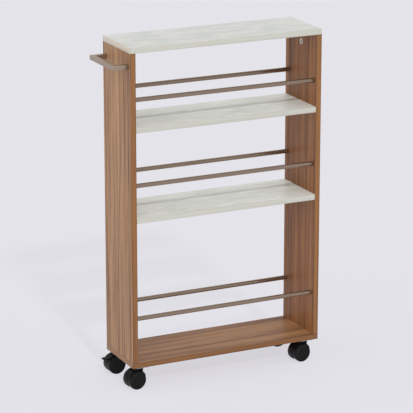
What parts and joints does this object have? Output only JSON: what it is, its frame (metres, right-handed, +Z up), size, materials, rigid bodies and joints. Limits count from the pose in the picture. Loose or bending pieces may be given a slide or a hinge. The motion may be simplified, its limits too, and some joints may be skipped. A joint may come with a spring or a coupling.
{
  "type": "kitchen trolley",
  "caption": "Slim wheeled kitchen trolley: side panels with a top board, open shelves, round guard rails, a bar handle on one end and twin-wheel swivel casters.",
  "frame": {"origin": "on the floor, at the middle of the bounding box's bottom face", "axes": "+Z up, +X along the length away from the handle, +Y to the back"},
  "size_m": [0.597, 0.18, 0.925],
  "materials": {
    "walnut_board": "walnut laminate, satin",
    "pale_board": "pale marble-look laminate, satin",
    "brown_edging": "orange-brown edging strip",
    "pale_edging": "pale edging strip",
    "bronze_metal": "bronze lacquer, satin",
    "steel": "zinc-plated",
    "cam_metal": "die-cast zinc",
    "dowel_wood": "plain beech",
    "black_plastic": "moulded, fine texture",
    "black_tread": "moulded, satin tread"
  },
  "bodies": {
    "carcass": {"left_side_panel": "walnut_board", "right_side_panel": "walnut_board", "bottom_board": "walnut_board", "top_board": "pale_board", "upper_shelf": "pale_board", "lower_shelf": "pale_board", "left_panel_edging": "brown_edging", "right_panel_edging": "brown_edging", "bottom_board_edging": "brown_edging", "top_board_edging": "pale_edging", "upper_shelf_edging": "pale_edging", "lower_shelf_edging": "pale_edging", "upper_front_rail": "bronze_metal", "upper_rear_rail": "bronze_metal", "middle_front_rail": "bronze_metal", "middle_rear_rail": "bronze_metal", "lower_front_rail": "bronze_metal", "lower_rear_rail": "bronze_metal", "handle": "bronze_metal", "handle_screws": "steel", "dowels": "dowel_wood", "cam_locks": "cam_metal", "cam_bolts": "steel", "bottom_board_screws": "steel", "caster_screws": "steel", "front_left_caster_plate": "steel", "front_left_kingpin": "steel", "front_right_caster_plate": "steel", "front_right_kingpin": "steel", "rear_left_caster_plate": "steel", "rear_left_kingpin": "steel", "rear_right_caster_plate": "steel", "rear_right_kingpin": "steel"},
    "front_left_caster": {"front_left_caster_housing": "black_plastic", "front_left_axle": "steel"},
    "front_left_near_wheel_body": {"front_left_near_wheel": "black_tread"},
    "front_left_far_wheel_body": {"front_left_far_wheel": "black_tread"},
    "front_right_caster": {"front_right_caster_housing": "black_plastic", "front_right_axle": "steel"},
    "front_right_near_wheel_body": {"front_right_near_wheel": "black_tread"},
    "front_right_far_wheel_body": {"front_right_far_wheel": "black_tread"},
    "rear_left_caster": {"rear_left_caster_housing": "black_plastic", "rear_left_axle": "steel", "rear_left_lever_pin": "steel"},
    "rear_left_near_wheel_body": {"rear_left_near_wheel": "black_tread"},
    "rear_left_far_wheel_body": {"rear_left_far_wheel": "black_tread"},
    "rear_left_brake": {"rear_left_brake_lever": "black_plastic"},
    "rear_right_caster": {"rear_right_caster_housing": "black_plastic", "rear_right_axle": "steel", "rear_right_lever_pin": "steel"},
    "rear_right_near_wheel_body": {"rear_right_near_wheel": "black_tread"},
    "rear_right_far_wheel_body": {"rear_right_far_wheel": "black_tread"},
    "rear_right_brake": {"rear_right_brake_lever": "black_plastic"}
  },
  "joints": [
    {"name": "front_left_swivel", "type": "hinge", "parent": "carcass", "child": "front_left_caster", "pos_m": [-0.2245, -0.0655, 0.06], "axis": [0, 0, 1], "continuous": true},
    {"name": "front_left_near_wheel_spin", "type": "hinge", "parent": "front_left_caster", "child": "front_left_near_wheel_body", "pos_m": [-0.24183, -0.06794, 0.025], "axis": [-0.1392, 0.9903, 0], "continuous": true},
    {"name": "front_left_far_wheel_spin", "type": "hinge", "parent": "front_left_caster", "child": "front_left_far_wheel_body", "pos_m": [-0.24183, -0.06794, 0.025], "axis": [-0.1392, 0.9903, 0], "continuous": true},
    {"name": "front_right_swivel", "type": "hinge", "parent": "carcass", "child": "front_right_caster", "pos_m": [0.2685, -0.0655, 0.06], "axis": [0, 0, 1], "continuous": true},
    {"name": "front_right_near_wheel_spin", "type": "hinge", "parent": "front_right_caster", "child": "front_right_near_wheel_body", "pos_m": [0.25113, -0.06763, 0.025], "axis": [-0.1219, 0.9925, 0], "continuous": true},
    {"name": "front_right_far_wheel_spin", "type": "hinge", "parent": "front_right_caster", "child": "front_right_far_wheel_body", "pos_m": [0.25113, -0.06763, 0.025], "axis": [-0.1219, 0.9925, 0], "continuous": true},
    {"name": "rear_left_swivel", "type": "hinge", "parent": "carcass", "child": "rear_left_caster", "pos_m": [-0.2245, 0.0655, 0.06], "axis": [0, 0, 1], "continuous": true},
    {"name": "rear_left_near_wheel_spin", "type": "hinge", "parent": "rear_left_caster", "child": "rear_left_near_wheel_body", "pos_m": [-0.24199, 0.06489, 0.025], "axis": [-0.0349, 0.9994, 0], "continuous": true},
    {"name": "rear_left_far_wheel_spin", "type": "hinge", "parent": "rear_left_caster", "child": "rear_left_far_wheel_body", "pos_m": [-0.24199, 0.06489, 0.025], "axis": [-0.0349, 0.9994, 0], "continuous": true},
    {"name": "rear_left_brake_press", "type": "hinge", "parent": "rear_left_caster", "child": "rear_left_brake", "pos_m": [-0.25503, 0.06443, 0.04296], "axis": [0.0349, -0.9994, 0], "range_deg": [0, 12]},
    {"name": "rear_right_swivel", "type": "hinge", "parent": "carcass", "child": "rear_right_caster", "pos_m": [0.2685, 0.0655, 0.06], "axis": [0, 0, 1], "continuous": true},
    {"name": "rear_right_near_wheel_spin", "type": "hinge", "parent": "rear_right_caster", "child": "rear_right_near_wheel_body", "pos_m": [0.25117, 0.06794, 0.025], "axis": [0.1392, 0.9903, 0], "continuous": true},
    {"name": "rear_right_far_wheel_spin", "type": "hinge", "parent": "rear_right_caster", "child": "rear_right_far_wheel_body", "pos_m": [0.25117, 0.06794, 0.025], "axis": [0.1392, 0.9903, 0], "continuous": true},
    {"name": "rear_right_brake_press", "type": "hinge", "parent": "rear_right_caster", "child": "rear_right_brake", "pos_m": [0.23825, 0.06975, 0.04296], "axis": [-0.1392, -0.9903, 0], "range_deg": [0, 12]}
  ]
}
